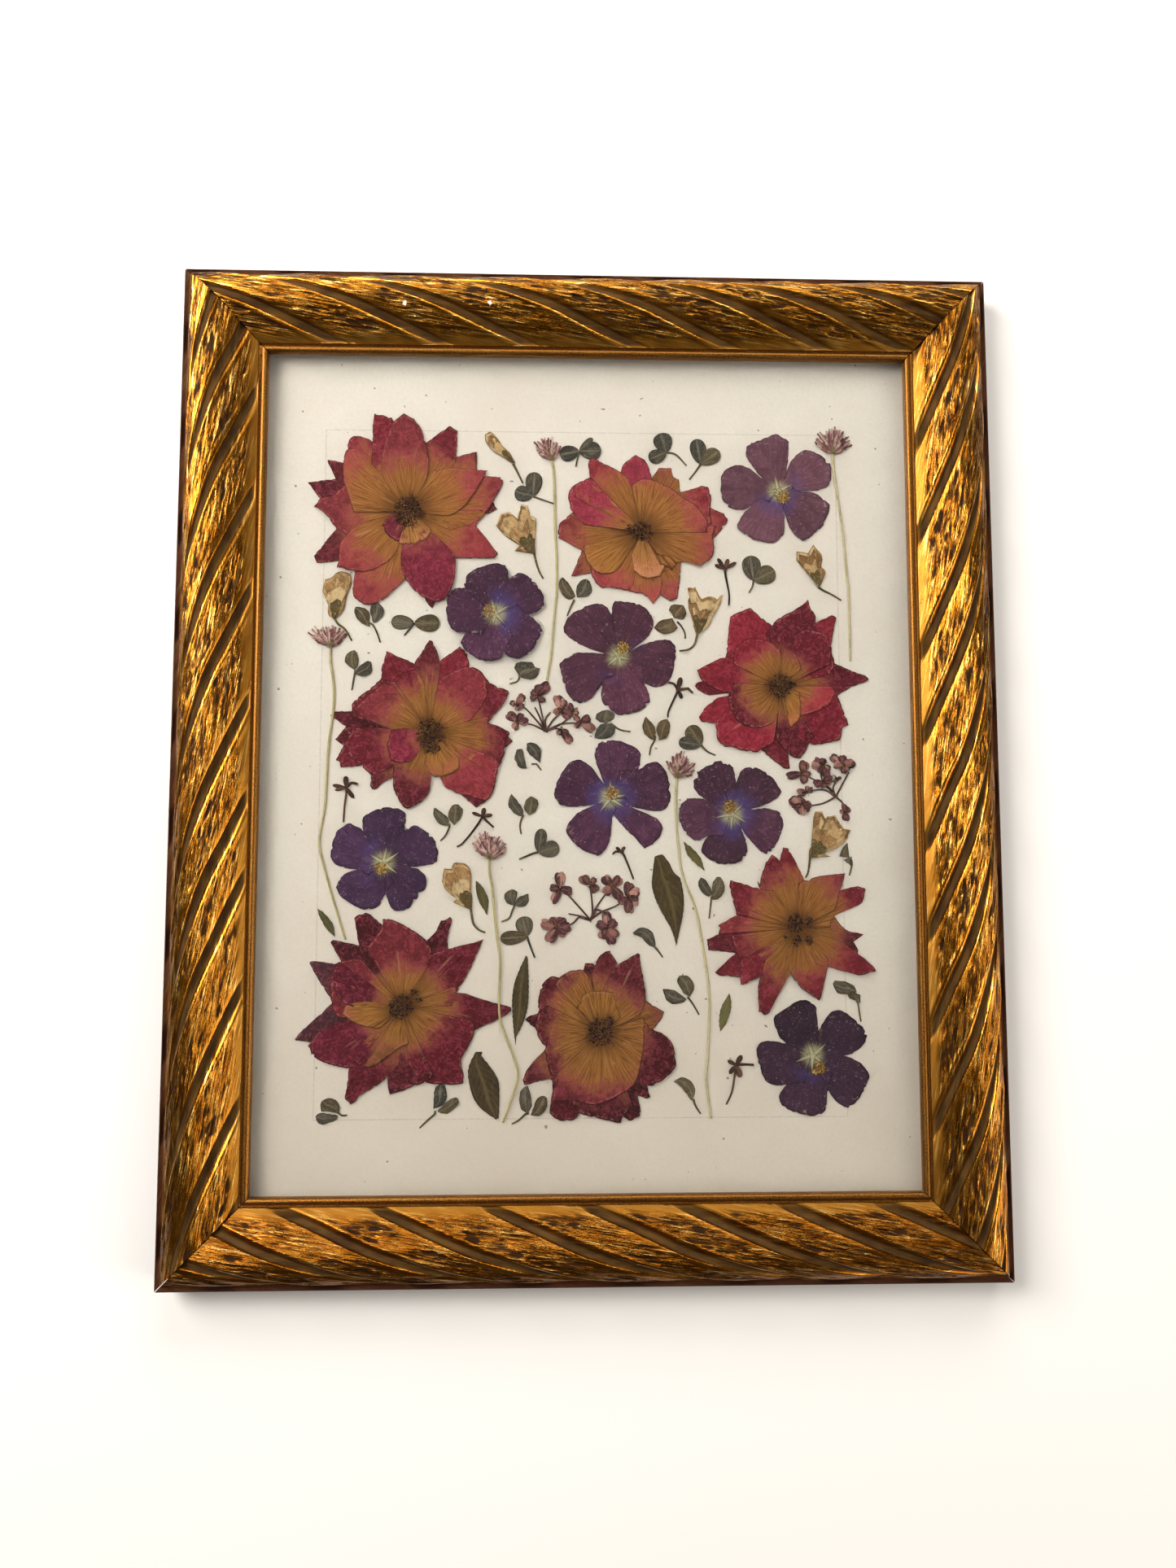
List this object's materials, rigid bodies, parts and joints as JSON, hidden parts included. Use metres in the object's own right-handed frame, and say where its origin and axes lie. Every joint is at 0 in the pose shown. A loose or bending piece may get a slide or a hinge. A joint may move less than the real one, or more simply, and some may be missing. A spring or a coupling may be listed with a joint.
{
  "type": "pressed flower frame",
  "caption": "Rectangular carved and gilded wooden frame with pressed roses, purple flowers, clovers and small leaves laid out on cream paper under glass.",
  "frame": {"origin": "under the middle of the frame, on the flat back of the rails", "axes": "+X along the top rail to the right seen from the front, +Y towards the top rail, +Z out of the glass towards the viewer; the frame lies on its back"},
  "size_m": [0.3366, 0.4128, 0.0236],
  "materials": {
    "gilding": "carved wood, gilt and toned, satin",
    "glass": "clear float glass",
    "paper": "matt",
    "greyboard": "matt",
    "steel": "dull zinc",
    "rose_petal": "dried petal, matt with a faint sheen",
    "purple_petal": "dried petal, matt",
    "clover": "dried stem and florets, matt",
    "cream_petal": "dried petal, matt",
    "brown_sprig": "dried calyx and stalk, matt",
    "umbel_floret": "dried florets, matt",
    "leaf": "dried leaf, matt",
    "leaf_pair": "dried leaf, matt"
  },
  "bodies": {
    "root": {"rail_top": "gilding", "rail_right": "gilding", "rail_bottom": "gilding", "rail_left": "gilding", "glass": "glass", "mounting_paper": "paper", "backing_board": "greyboard", "framers_point_1": "steel", "framers_point_2": "steel", "framers_point_3": "steel", "framers_point_4": "steel", "framers_point_5": "steel", "framers_point_6": "steel", "sawtooth_hanger": "steel", "rose_1": "rose_petal", "rose_2": "rose_petal", "rose_3": "rose_petal", "rose_4": "rose_petal", "rose_5": "rose_petal", "rose_6": "rose_petal", "rose_7": "rose_petal", "purple_flower_1": "purple_petal", "purple_flower_2": "purple_petal", "purple_flower_3": "purple_petal", "purple_flower_4": "purple_petal", "purple_flower_5": "purple_petal", "purple_flower_6": "purple_petal", "purple_flower_7": "purple_petal", "leaf_1": "leaf", "leaf_2": "leaf", "leaf_3": "leaf", "leaf_4": "leaf", "leaf_5": "leaf", "leaf_6": "leaf", "leaf_7": "leaf", "clover_1": "clover", "clover_2": "clover", "clover_3": "clover", "clover_4": "clover", "clover_5": "clover", "cream_blossom_1": "cream_petal", "cream_blossom_2": "cream_petal", "cream_blossom_3": "cream_petal", "cream_blossom_4": "cream_petal", "cream_blossom_5": "cream_petal", "cream_blossom_6": "cream_petal", "cream_blossom_7": "cream_petal", "sprig_1": "brown_sprig", "sprig_2": "brown_sprig", "sprig_3": "brown_sprig", "sprig_4": "brown_sprig", "sprig_5": "brown_sprig", "sprig_6": "brown_sprig", "umbel_1": "umbel_floret", "umbel_2": "umbel_floret", "umbel_3": "umbel_floret", "leaf_pair_1": "leaf_pair", "leaf_pair_2": "leaf_pair", "leaf_pair_3": "leaf_pair", "leaf_pair_4": "leaf_pair"}
  },
  "joints": []
}
